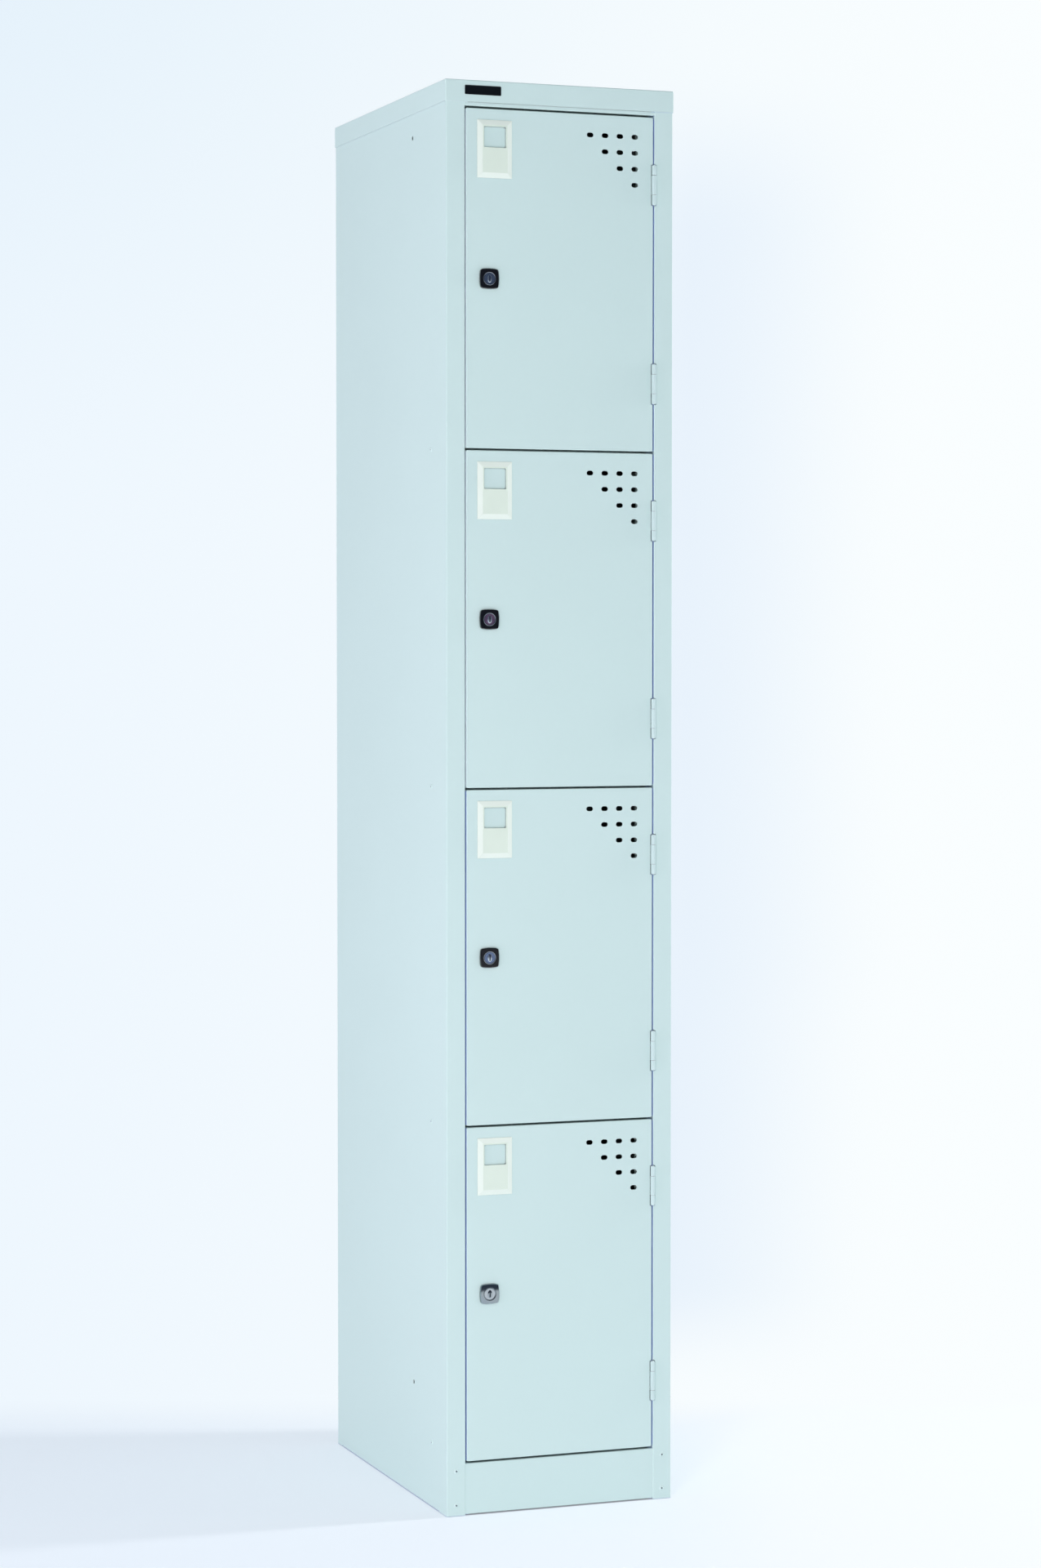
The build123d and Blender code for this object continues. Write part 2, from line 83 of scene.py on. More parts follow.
class Slot(Enum):
    """Material slots of the record."""

    BODY_PAINT = "body_paint"
    DOOR_PAINT = "door_paint"
    HINGE_PAINT = "hinge_paint"
    RIVET_PAINT = "rivet_paint"
    HOLDER_PLASTIC = "holder_plastic"
    LOCK_BLACK = "lock_black"
    LOCK_CHROME = "lock_chrome"
    PLUG_METAL = "plug_metal"
    ZINC = "zinc"


class Facing(Enum):
    """Ways that a fitting can face, as unit vectors of the row frame."""

    FRONT = (0.0, -1.0, 0.0)
    BACK = (0.0, 1.0, 0.0)
    LEFT = (-1.0, 0.0, 0.0)
    RIGHT = (1.0, 0.0, 0.0)

    @property
    def vector(self) -> Vector:
        """The direction as a vector."""
        return Vector(self.value)


def srgb(red: int, green: int, blue: int) -> Colour:
    """Turn an 8-bit screen colour into linear light."""
    screen = Color(value / FULL_SCREEN_VALUE for value in (red, green, blue))
    return tuple(screen.from_srgb_to_scene_linear())


@dataclass(frozen=True)
class Span:
    """Range of a value, and the range that a ramp maps it to."""

    low: Any
    high: Any
    start: Any = 0.0
    end: Any = 1.0


class Bench:
    """Adds nodes to one node tree and links them."""

    def __init__(self, tree: bpy.types.NodeTree) -> None:
        """Work on a node tree."""
        self.tree = tree

    @classmethod
    def cleared(cls, owner: bpy.types.Material | bpy.types.World) -> "Bench":
        """Work on the nodes of a material or world, which start empty.

        Args:
            owner: The material or world.

        Returns:
            The bench for its tree.
        """
        owner.use_nodes = True
        owner.node_tree.nodes.clear()
        return cls(owner.node_tree)

    def add(self, kind: str, inputs: dict[Any, Any] | None = None, **settings: Any) -> bpy.types.Node:
        """Add a node, with each input linked or set.

        Args:
            kind: Blender's name of the node type.
            inputs: For each input's name or number, a socket to link or a value to set.
            **settings: The node's own properties.

        Returns:
            The new node.
        """
        node = self.tree.nodes.new(kind)
        for name, value in settings.items():
            setattr(node, name, value)
        for name, value in (inputs or {}).items():
            self.feed(node.inputs[name], value)
        return node

    def feed(self, socket: Socket, value: Any) -> None:
        """Link a socket, or set its value.

        Args:
            socket: The input socket.
            value: An output socket, a number or a colour.
        """
        if isinstance(value, Socket):
            self.tree.links.new(value, socket)
        elif socket.type == "RGBA" and len(value) == 3:
            socket.default_value = (*value, 1.0)
        else:
            socket.default_value = value

    def math(self, operation: str, *values: Any, clamp: bool = False) -> Socket:
        """Calculate with numbers, and keep the result between 0 and 1 where clamp is set."""
        inputs = dict(enumerate(values))
        return self.add("ShaderNodeMath", inputs, operation=operation, use_clamp=clamp).outputs[0]

    def merge(self, operation: str, values: Iterable[Any], **settings: Any) -> Socket:
        """Calculate with a row of numbers, one after another."""
        return reduce(partial(self.math, operation, **settings), values)

    def product(self, *factors: Any) -> Socket:
        """Multiply numbers."""
        return self.merge("MULTIPLY", factors)

    def vector_math(self, operation: str, *values: Any) -> Any:
        """Calculate with vectors, which gives the outputs Vector and Value."""
        return self.add("ShaderNodeVectorMath", dict(enumerate(values)), operation=operation).outputs

    def axes(self, place: Any) -> Any:
        """Split a vector into the outputs X, Y and Z."""
        return self.add("ShaderNodeSeparateXYZ", {0: place}).outputs

    def along(self, vector: Any, way: Any) -> Socket:
        """Measure how far a vector leads along another."""
        return self.vector_math("DOT_PRODUCT", vector, way)["Value"]

    def length(self, vector: Any) -> Socket:
        """Measure a vector's length."""
        return self.vector_math("LENGTH", vector)["Value"]

    def off_axis(self, place: Any) -> Socket:
        """Keep the part of a vector that leads away from an axis along Y."""
        return self.vector_math("MULTIPLY", place, (1.0, 0.0, 1.0))["Vector"]

    def mix(self, share: Any, first: Any, second: Any) -> Socket:
        """Mix two colours, with a share of the second one from 0 to 1."""
        inputs = {MIX_SHARE: share, MIX_FIRST: first, MIX_SECOND: second}
        return self.add("ShaderNodeMix", inputs, data_type="RGBA").outputs[MIX_RESULT]

    def mix_shaders(self, share: Any, first: Any, second: Any) -> Socket:
        """Mix two shaders, with a share of the second one from 0 to 1."""
        return self.add("ShaderNodeMixShader", {0: share, 1: first, 2: second}).outputs[0]

    def ramp(self, value: Any, span: Span) -> Socket:
        """Map a value smoothly, as a span says."""
        inputs = dict(enumerate((value, span.low, span.high, span.start, span.end)))
        return self.add("ShaderNodeMapRange", inputs, interpolation_type="SMOOTHSTEP").outputs[0]

    def noise(self, vector: Any, cells: Any, layers: float = 2.0) -> Socket:
        """Add noise with a number of cells in a metre and of finer layers."""
        inputs = {"Vector": vector, "Scale": cells, "Detail": layers}
        return self.add("ShaderNodeTexNoise", inputs).outputs[0]

    def bump(self, height: Any, depth: float = 1.0) -> Socket:
        """Turn a height, times a depth in metres, into a normal."""
        return self.add("ShaderNodeBump", {"Distance": depth, "Height": height}).outputs[0]

    def own_coordinates(self, centre: Vector | None = None) -> Socket:
        """Read the piece's own coordinates.

        Args:
            centre: The point that becomes zero, or None to leave them as they are.

        Returns:
            The coordinates' socket.
        """
        place = self.add("ShaderNodeTexCoord").outputs["Object"]
        if centre is None:
            return place
        return self.add("ShaderNodeMapping", {"Vector": place, "Location": -centre}).outputs[0]


# Kinds of an effect's inputs and outputs that aren't plain numbers
SOCKET_KINDS = {"Vector": "NodeSocketVector", "Colour": "NodeSocketColor"}


class SurfaceEffect(ABC):
    """A shader node group that more than one finish uses, built once."""

    inputs: ClassVar[tuple[str, ...]]
    output: ClassVar[str]

    @abstractmethod
    def wire(self, bench: Bench, given: Any) -> Socket:
        """Build the group's inside.

        Args:
            bench: Adds nodes to the group's tree.
            given: The group's inputs, as seen from inside.

        Returns:
            The socket that feeds the group's output.
        """

    def group(self) -> bpy.types.NodeTree:
        """Fetch the node group, which is built the first time.

        Returns:
            The node group.
        """
        title = type(self).__name__
        made = bpy.data.node_groups.get(title)
        if made is None:
            made = bpy.data.node_groups.new(title, "ShaderNodeTree")
            for way, names in (("INPUT", self.inputs), ("OUTPUT", (self.output,))):
                for name in names:
                    kind = SOCKET_KINDS.get(name, "NodeSocketFloat")
                    made.interface.new_socket(name=name, in_out=way, socket_type=kind)
            bench = Bench(made)
            given = bench.add("NodeGroupInput").outputs
            bench.add("NodeGroupOutput", {self.output: self.wire(bench, given)})
        return made

    def place(self, bench: Bench, **values: Any) -> Socket:
        """Put the effect into a material with a value or socket for each input, and give its output."""
        return bench.add("ShaderNodeGroup", values, node_tree=self.group()).outputs[0]


class OrangePeel(SurfaceEffect):
    """Fine waves that a sprayed and baked coat sets with."""

    inputs = ("Vector", "Cells")
    output = "Height"
    layers = 1.0
    sizes = (1.0, 3.1)
    fine_share = 0.3

    def wire(self, bench: Bench, given: Any) -> Socket:
        """Add two sizes of noise, the finer one fainter."""
        broad, fine = (
            bench.noise(given["Vector"], bench.product(given["Cells"], size), self.layers)
            for size in self.sizes
        )
        return bench.math("MULTIPLY_ADD", fine, self.fine_share, broad)


class ToneDrift(SurfaceEffect):
    """Slow change of a colour's brightness over a large surface."""

    inputs = ("Vector", "Colour", "Cells", "Drift")
    output = "Colour"
    layers = 3.0
    mean_noise = 0.5

    def wire(self, bench: Bench, given: Any) -> Socket:
        """Scale the colour's value by noise about one.

        Args:
            bench: Adds nodes to the group's tree.
            given: The group's inputs.

        Returns:
            The colour's socket.
        """
        noise = bench.noise(given["Vector"], given["Cells"], self.layers)
        patches = bench.math("SUBTRACT", noise, self.mean_noise)
        value = bench.math("MULTIPLY_ADD", patches, given["Drift"], 1.0)
        shifted = bench.add("ShaderNodeHueSaturation", {"Value": value, "Color": given["Colour"]})
        return shifted.outputs[0]


class EdgeWearAndHighlight(SurfaceEffect):
    """Mask of the sharp edges, where a coat is thin or a plating is worn bright, and where a painted
    highlight lies.
    """

    inputs = ("Vector", "Radius", "Share")
    output = "Mask"
    samples = 4
    edge_alikeness = Span(0.99, 0.75)
    patch_cells = 90.0
    patch_noise = Span(0.3, 0.6, 0.55)

    def wire(self, bench: Bench, given: Any) -> Socket:
        """Compare the rounded normal with the true one, and break the edge up a little.

        Args:
            bench: Adds nodes to the group's tree.
            given: The group's inputs.

        Returns:
            The mask's socket.
        """
        rounded = bench.add("ShaderNodeBevel", {"Radius": given["Radius"]}, samples=self.samples).outputs[0]
        true = bench.add("ShaderNodeNewGeometry").outputs["Normal"]
        edge = bench.ramp(bench.along(rounded, true), self.edge_alikeness)
        patches = bench.ramp(bench.noise(given["Vector"], self.patch_cells), self.patch_noise)
        return bench.product(edge, patches, given["Share"])


class Handling(SurfaceEffect):
    """Faint smears and fine rubbed marks that change how a surface shines."""

    inputs = ("Vector", "Cells", "Roughness", "Spread")
    output = "Roughness"
    smear_layers = 4.0
    streak_stretch = (1.0, 1.0, 14.0)
    streak_finer = 2.5
    streak_share = 0.4
    mean_marks = 0.7

    def wire(self, bench: Bench, given: Any) -> Socket:
        """Raise and lower the roughness with smears, and with streaks across them.

        Args:
            bench: Adds nodes to the group's tree.
            given: The group's inputs.

        Returns:
            The roughness's socket.
        """
        smears = bench.noise(given["Vector"], given["Cells"], self.smear_layers)
        inputs = {"Vector": given["Vector"], "Scale": self.streak_stretch}
        stretched = bench.add("ShaderNodeMapping", inputs).outputs[0]
        streaks = bench.noise(stretched, bench.math("MULTIPLY", given["Cells"], self.streak_finer))
        marks = bench.math("MULTIPLY_ADD", streaks, self.streak_share, smears)
        centred = bench.math("SUBTRACT", marks, self.mean_marks)
        return bench.math("MULTIPLY_ADD", centred, given["Spread"], given["Roughness"])


class SettledDust(SurfaceEffect):
    """Mask of a thin film of dust on faces that look up."""

    inputs = ("Vector", "Amount")
    output = "Mask"
    level_slope = Span(0.8, 0.98)
    patch_cells = 11.0
    patch_layers = 5.0
    patch_noise = Span(0.35, 0.75, 0.4)

    def wire(self, bench: Bench, given: Any) -> Socket:
        """Let the faces that look up through, in soft patches.

        Args:
            bench: Adds nodes to the group's tree.
            given: The group's inputs.

        Returns:
            The mask's socket.
        """
        normal = bench.add("ShaderNodeNewGeometry").outputs["Normal"]
        upward = bench.ramp(bench.axes(normal)["Z"], self.level_slope)
        noise = bench.noise(given["Vector"], self.patch_cells, self.patch_layers)
        return bench.product(upward, bench.ramp(noise, self.patch_noise), given["Amount"])


class PaintedGapShade(SurfaceEffect):
    """Mask of painted shade deep in narrow gaps."""

    inputs = ("Reach", "Open", "Shut", "Amount")
    output = "Mask"
    samples = 6

    def wire(self, bench: Bench, given: Any) -> Socket:
        """Let the places through from which little of the surroundings can be seen."""
        seen = bench.add("ShaderNodeAmbientOcclusion", {"Distance": given["Reach"]}, samples=self.samples)
        return bench.ramp(seen.outputs["AO"], Span(given["Open"], given["Shut"], 0.0, given["Amount"]))


class TurnedRings(SurfaceEffect):
    """Fine rings that a lathe leaves round an axis along Y."""

    inputs = ("Vector", "Pitch")
    output = "Height"

    def wire(self, bench: Bench, given: Any) -> Socket:
        """Turn the distance from the axis into waves."""
        turns = bench.math("DIVIDE", bench.length(bench.off_axis(given["Vector"])), given["Pitch"])
        return bench.math("SINE", bench.math("MULTIPLY", turns, 2 * math.pi))


class CrownedFace(SurfaceEffect):
    """Slight swell of a face that looks along Y, highest on its axis."""

    inputs = ("Vector", "Curvature")
    output = "Height"
    fall_share = -0.5

    def wire(self, bench: Bench, given: Any) -> Socket:
        """Let the height fall with half the curvature times the square of the distance from the axis."""
        offset = bench.off_axis(given["Vector"])
        return bench.product(bench.along(offset, offset), given["Curvature"], self.fall_share)


@dataclass(frozen=True)
class Finish:
    """A material that is built once and shared by the pieces that have it."""

    title: str
    colour: Colour
    metallic: float = 0.0
    drift: float = 0.05
    drift_cells: float = 60.0
    roughness: float = 0.4
    spread: float = 0.1
    smear_cells: float = 60.0

    def material(self) -> bpy.types.Material:
        """Fetch the material, which is built the first time.

        Returns:
            The material.
        """
        made = bpy.data.materials.get(self.title)
        if made is None:
            made = bpy.data.materials.new(self.title)
            bench = Bench.cleared(made)
            place = self.coordinates(bench)
            inputs = {
                "Base Color": self.tone(bench, place),
                "Metallic": self.metallic,
                "Roughness": self.shine(bench, place),
            }
            shader = bench.add("ShaderNodeBsdfPrincipled", inputs | self.relief(bench, place))
            bench.add("ShaderNodeOutputMaterial", {"Surface": shader.outputs[0]})
            log.info("finish %s", self.title)
        return made

    def coordinates(self, bench: Bench) -> Socket:
        """Where the finish's patterns lie."""
        return bench.own_coordinates()

    def plain(self, bench: Bench) -> Any:
        """The colour before it drifts."""
        return self.colour

    def tone(self, bench: Bench, place: Socket) -> Socket:
        """Let the plain colour drift over the piece."""
        values = {"Colour": self.plain(bench), "Cells": self.drift_cells, "Drift": self.drift}
        return ToneDrift().place(bench, Vector=place, **values)

    def shine(self, bench: Bench, place: Socket) -> Socket:
        """Smear the roughness."""
        values = {"Cells": self.smear_cells, "Roughness": self.roughness, "Spread": self.spread}
        return Handling().place(bench, Vector=place, **values)

    def relief(self, bench: Bench, place: Socket) -> dict[str, Any]:
        """The shader's other inputs, which are left alone on a smooth finish."""
        return {}


@dataclass(frozen=True)
class EdgedFinish(Finish):
    """A finish that is thin or worn on sharp edges, with a painted highlight there too."""

    # Colour of the sharp edges, partly thin or worn finish and partly painted highlight
    edge_wear_and_highlight_tint: Colour = srgb(236, 244, 244)
    edge_radius: float = 0.7 * MM
    edge_share: float = 0.35

    def tone(self, bench: Bench, place: Socket) -> Socket:
        """Change the drifting colour on sharp edges, for wear and a painted highlight."""
        edges = EdgeWearAndHighlight().place(bench, Vector=place, Radius=self.edge_radius, Share=self.edge_share)
        return bench.mix(edges, super().tone(bench, place), self.edge_wear_and_highlight_tint)


@dataclass(frozen=True)
class SprayedCoat(EdgedFinish):
    """A sprayed and baked coat with its peel."""

    peel_cells: float = 620.0
    peel_depth: float = 0.018 * MM

    def relief(self, bench: Bench, place: Socket) -> dict[str, Any]:
        """Give the coat its peel."""
        peel = OrangePeel().place(bench, Vector=place, Cells=self.peel_cells)
        return {"Normal": bench.bump(peel, self.peel_depth)}


# Dark colour of the painted shade in deep gaps
PAINTED_DARK_SHADE = srgb(14, 16, 34)
# Reach and mask ramp of the painted shade in the cabinet's gaps
PAINTED_SHADE_IN_GAPS = {"Reach": 3.5 * MM, "Open": 0.6, "Shut": 0.34, "Amount": 0.96}
# Reach and mask ramp of the painted contact shadow where the floor meets the object
PAINTED_CONTACT_SHADOW = {"Reach": 2.5 * MM, "Open": 0.8, "Shut": 0.45, "Amount": 0.4}


@dataclass(frozen=True)
class PowderCoat(SprayedCoat):
    """Smooth coat on sheet steel, with some dust on top, painted shade in its gaps and painted light in the
    left gaps of the upper doors.
    """

    drift_cells: float = 3.0
    spread: float = 0.08
    smear_cells: float = 7.0
    dust_colour: Colour = srgb(226, 230, 228)
    dust: float = 0.16
    # Painted shade in the gaps, deep above and below the doors and bluish beside them, and painted light
    # left of the upper doors
    painted_gap_shade: Colour = PAINTED_DARK_SHADE
    painted_side_gap_shade: Colour = srgb(160, 184, 240)
    painted_pale_gap_light: Colour = srgb(240, 248, 255)
    side_gap_inset: float = 2.0 * MM
    gap_blend: float = 1.0 * MM

    def film(self, bench: Bench, place: Socket) -> Socket:
        """Let dust settle on the faces that look up."""
        return SettledDust().place(bench, Vector=place, Amount=self.dust)

    def shine(self, bench: Bench, place: Socket) -> Socket:
        """Dull the coat's shine where dust lies."""
        return bench.math("ADD", super().shine(bench, place), self.film(bench, place), clamp=True)

    def tone(self, bench: Bench, place: Socket) -> Socket:
        """Lay dust on the coat's colour, and the gaps' painted shade and painted light over both."""
        dusty = bench.mix(self.film(bench, place), super().tone(bench, place), self.dust_colour)
        return bench.mix(PaintedGapShade().place(bench, **PAINTED_SHADE_IN_GAPS), dusty, self.painted_gap_tones(bench, place))

    def painted_gap_tones(self, bench: Bench, place: Socket) -> Socket:
        """Paint shade and light into the gaps: dark above and below the doors, bluish beside them, pale left
        of the upper two.

        Args:
            bench: Adds nodes to the material's tree.
            place: The piece's own coordinates.

        Returns:
            The colour's socket.
        """
        axes = bench.axes(place)
        low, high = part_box("door_panel_1")
        edge = min(-low.x, high.x) - self.side_gap_inset
        beside = bench.ramp(bench.math("ABSOLUTE", axes["X"]), Span(edge - self.gap_blend, edge))
        third_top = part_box("door_panel_3")[1].z
        upper = bench.ramp(axes["Z"], Span(third_top, third_top + self.gap_blend))
        left = bench.ramp(axes["X"], Span(0.0, -self.gap_blend))
        sides = bench.mix(bench.product(upper, left), self.painted_side_gap_shade, self.painted_pale_gap_light)
        return bench.mix(beside, self.painted_gap_shade, sides)


@dataclass(frozen=True)
class GlossLacquer(SprayedCoat):
    """Dark gloss coat over a zinc casting, thin on the edges under a painted highlight, and dull where
    fingers touch it.
    """

    drift: float = 0.3
    roughness: float = 0.16
    spread: float = 0.12
    smear_cells: float = 70.0
    edge_wear_and_highlight_tint: Colour = srgb(70, 76, 88)
    edge_radius: float = 0.35 * MM
    edge_share: float = 0.4
    peel_cells: float = 900.0
    peel_depth: float = 0.006 * MM
    coat: float = 0.6
    coat_roughness: float = 0.05

    def relief(self, bench: Bench, place: Socket) -> dict[str, Any]:
        """Add the clear coat to the peel."""
        clear = {"Coat Weight": self.coat, "Coat Roughness": self.coat_roughness}
        return clear | super().relief(bench, place)


@dataclass(frozen=True)
class MouldedPlastic(Finish):
    """Moulded plastic with a grained flat face and slopes painted paler, a painted sheen."""

    drift_cells: float = 40.0
    roughness: float = 0.42
    # Paler colour of the slopes, a painted sheen where they would catch the light
    painted_sheen_colour: Colour = srgb(226, 238, 227)
    painted_sheen_facing: Span = Span(0.99, 0.95)
    grain_cells: float = 1500.0
    grain_depth: float = 0.008 * MM

    def plain(self, bench: Bench) -> Socket:
        """Paint the slopes paler than the face, a painted sheen on them.

        Args:
            bench: Adds nodes to the material's tree.

        Returns:
            The colour's socket.
        """
        facing = bench.axes(bench.add("ShaderNodeTexCoord").outputs["Normal"])["Y"]
        slope = bench.ramp(bench.math("ABSOLUTE", facing), self.painted_sheen_facing)
        return bench.mix(slope, self.colour, self.painted_sheen_colour)

    def relief(self, bench: Bench, place: Socket) -> dict[str, Any]:
        """Give the plastic its grain."""
        return {"Normal": bench.bump(bench.noise(place, self.grain_cells), self.grain_depth)}


@dataclass(frozen=True)
class Plating(EdgedFinish):
    """Bright or dull metal plating, worn a little on its edges, with a painted highlight there too."""

    metallic: float = 1.0
    drift: float = 0.12
    spread: float = 0.14
    edge_radius: float = 0.3 * MM
    edge_share: float = 0.5


@dataclass(frozen=True)
class CrownedPlating(Plating):
    """Plating on a face that swells round an axis along Y."""

    axis: tuple[float, ...] = (0.0, 0.0, 0.0)
    curvature: float = 0.0

    def relief(self, bench: Bench, place: Socket) -> dict[str, Any]:
        """Swell the face."""
        centred = bench.own_coordinates(Vector(self.axis))
        return {"Normal": bench.bump(CrownedFace().place(bench, Vector=centred, Curvature=self.curvature))}


@dataclass(frozen=True)
class TurnedMetal(Finish):
    """Lathe-turned metal with rings round an axis along Y."""

    axis: tuple[float, ...] = (0.0, 0.0, 0.0)
    metallic: float = 1.0
    drift: float = 0.15
    drift_cells: float = 120.0
    roughness: float = 0.22
    smear_cells: float = 140.0
    ring_pitch: float = 0.35 * MM
    ring_depth: float = 0.004 * MM

    def coordinates(self, bench: Bench) -> Socket:
        """Count the coordinates from the axis."""
        return bench.own_coordinates(Vector(self.axis))

    def relief(self, bench: Bench, place: Socket) -> dict[str, Any]:
        """Cut the lathe's rings."""
        rings = TurnedRings().place(bench, Vector=place, Pitch=self.ring_pitch)
        return {"Normal": bench.bump(rings, self.ring_depth)}


def lock_axis(tier: int) -> Vector:
    """The point of a lock's axis at the front of its plug."""
    low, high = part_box(f"lock_plug_{tier}")
    return Vector(((low.x + high.x) / 2, low.y, (low.z + high.z) / 2))


PAINT_COLOUR = srgb(201, 225, 221)
FINISHES: dict[Slot, Finish] = {
    Slot.BODY_PAINT: PowderCoat("body_coat", PAINT_COLOUR),
    Slot.DOOR_PAINT: PowderCoat("door_coat", PAINT_COLOUR, drift_cells=2.2, peel_cells=560.0),
    # A darker copy of the body paint, painted shade on the round knuckles, with painted dark shade in the
    # gaps beside them
    Slot.HINGE_PAINT: PowderCoat(
        "hinge_coat", srgb(198, 221, 219), edge_share=0.3, drift_cells=20.0, painted_side_gap_shade=PAINTED_DARK_SHADE
    ),
    # A copy of the body paint a step lighter, a faint painted highlight on the rivet heads
    Slot.RIVET_PAINT: PowderCoat("rivet_coat", srgb(202, 225, 222), edge_share=0.4, drift_cells=30.0),
    Slot.HOLDER_PLASTIC: MouldedPlastic("moulded_plastic", srgb(217, 232, 217)),
    Slot.LOCK_BLACK: GlossLacquer("lock_lacquer", srgb(12, 13, 18)),
    Slot.LOCK_CHROME: CrownedPlating(
        "lock_plate", srgb(158, 168, 174), edge_wear_and_highlight_tint=srgb(226, 232, 236), roughness=0.14,
        axis=tuple(lock_axis(TIERS)), curvature=17.0,
    ),
    Slot.ZINC: Plating(
        "zinc_plate", srgb(186, 190, 196), edge_wear_and_highlight_tint=srgb(222, 224, 226), roughness=0.36,
        drift=0.3, metallic=0.55,
    ),
}
MANDREL_STEEL = Plating(
    "mandrel_steel", srgb(40, 42, 48), edge_wear_and_highlight_tint=srgb(110, 114, 120), roughness=0.5,
    drift_cells=500.0, smear_cells=500.0,
)
BADGE_METAL = Plating(
    "badge_plate", srgb(60, 64, 70), edge_wear_and_highlight_tint=srgb(150, 155, 160), drift_cells=50.0, smear_cells=50.0
)
TRIM_METAL = Plating(
    "trim_plate", srgb(214, 224, 236), edge_wear_and_highlight_tint=srgb(240, 244, 250), roughness=0.3,
    drift_cells=150.0, smear_cells=150.0,
)
# Per-lock colours of one plug metal, lighter, darker, bluer or plum as painted reflections on each plug
PAINTED_PLUG_REFLECTIONS = {
    1: srgb(186, 204, 232),
    2: srgb(214, 172, 208),
    3: srgb(140, 160, 200),
    4: srgb(190, 198, 206),
}


def node_slot(name: str) -> Slot:
    """Look up the material slot of a CAD node in the record."""
    return next(Slot(part["material_slot"]) for part in frame["record"]["subparts"] if part["node"] == name)


def nodes_of(body: str) -> list[str]:
    """List the CAD nodes of a body in the record."""
    return frame["record"]["behaviour"]["bodies"][body]


def dress(name: str, finish: Finish | None = None) -> None:
    """Give a CAD node its finish.

    Args:
        name: The node's name.
        finish: The finish, or None for the one of its slot.
    """
    chosen = finish or FINISHES[node_slot(name)]
    for slot in frame["nodes"][name].material_slots:
        slot.material = chosen.material()
    log.info("node %s has %s", name, chosen.title)


def single_out(piece: Piece) -> None:
    """Make a piece the only selected and active object.

    Args:
        piece: The piece.
    """
    bpy.ops.object.select_all(action="DESELECT")
    piece.select_set(True)
    bpy.context.view_layer.objects.active = piece


def looking(way: Vector) -> PartTest:
    """Make the test for faces that look along a direction."""
    return lambda face: face.normal.dot(way) > ALIGNED


def running(way: Vector) -> PartTest:
    """Make the test for edges that run along a direction."""
    return lambda edge: abs((edge.verts[1].co - edge.verts[0].co).normalized().dot(way)) > ALIGNED


@contextmanager
def editing(piece: Piece, faces: PartTest | None = None, edges: PartTest | None = None) -> Iterator[None]:
    """Open a piece in edit mode, with the faces or edges that pass a test selected, or else all.

    Args:
        piece: The piece.
        faces: The test for faces.
        edges: The test for edges.

    Yields:
        Nothing, while the piece is in edit mode.
    """
    wanted = faces or edges
    single_out(piece)
    bpy.ops.object.mode_set(mode="EDIT")
    bpy.ops.mesh.select_mode(type="EDGE" if edges else "FACE")
    bpy.ops.mesh.select_all(action="DESELECT" if wanted else "SELECT")
    if wanted:
        mesh = bmesh.from_edit_mesh(piece.data)
        for part in mesh.edges if edges else mesh.faces:
            part.select_set(wanted(part))
        bmesh.update_edit_mesh(piece.data)
    yield
    bpy.ops.object.mode_set(mode="OBJECT")


def settle(piece: Piece) -> None:
    """Move a piece's place, turn and scale into its mesh."""
    single_out(piece)
    bpy.ops.object.transform_apply(location=True, rotation=True, scale=True)


def apply_modifier(piece: Piece, kind: str, **settings: Any) -> None:
    """Add a modifier and apply it.

    Args:
        piece: The piece.
        kind: Blender's name of the modifier type.
        **settings: The modifier's properties.
    """
    single_out(piece)
    modifier = piece.modifiers.new(kind.lower(), kind)
    for name, value in settings.items():
        setattr(modifier, name, value)
    bpy.ops.object.modifier_apply(modifier=modifier.name)


def combine(piece: Piece, tool: Piece, operation: str) -> None:
    """Work on a piece with a tool by DIFFERENCE, UNION or INTERSECT, and remove the tool."""
    apply_modifier(piece, "BOOLEAN", object=tool, operation=operation, solver="EXACT")
    bpy.data.objects.remove(tool)


def soften(piece: Piece, width: float, segments: int = 2, angle: float = SHARP_ANGLE) -> None:
    """Round a piece's sharp edges, and keep the faces between them flat.

    Args:
        piece: The piece.
        width: Width of the rounding.
        segments: Faces across the rounding.
        angle: The least angle in degrees that counts as sharp.
    """
    single_out(piece)
    bpy.ops.object.shade_smooth()
    apply_modifier(
        piece, "BEVEL", width=width, segments=segments, limit_method="ANGLE",
        angle_limit=math.radians(angle), harden_normals=True,
    )


def start(name: str, primitive: Callable[..., Any], **settings: Any) -> Piece:
    """Start a piece as one of Blender's primitives.

    Args:
        name: The piece's name.
        primitive: The operator that adds the primitive.
        **settings: The operator's own settings.

    Returns:
        The piece, with its place in its mesh.
    """
    bpy.ops.object.select_all(action="DESELECT")
    primitive(**settings)
    piece = bpy.context.object
    piece.name = name
    settle(piece)
    return piece


def block(name: str, low: Vector, high: Vector) -> Piece:
    """Start a piece as a block between its lowest and its highest corner."""
    middle = (low + high) / 2
    return start(name, bpy.ops.mesh.primitive_cube_add, size=1, location=middle, scale=high - low)


def drum(name: str, centre: Vector, way: Vector, radius: float, length: float, sides: int = 32) -> Piece:
    """Start a piece as a cylinder whose axis runs through its centre along a direction."""
    turn = way.to_track_quat("Z", "Y").to_euler()
    return start(
        name, bpy.ops.mesh.primitive_cylinder_add,
        vertices=sides, radius=radius, depth=length, location=centre, rotation=turn,
    )


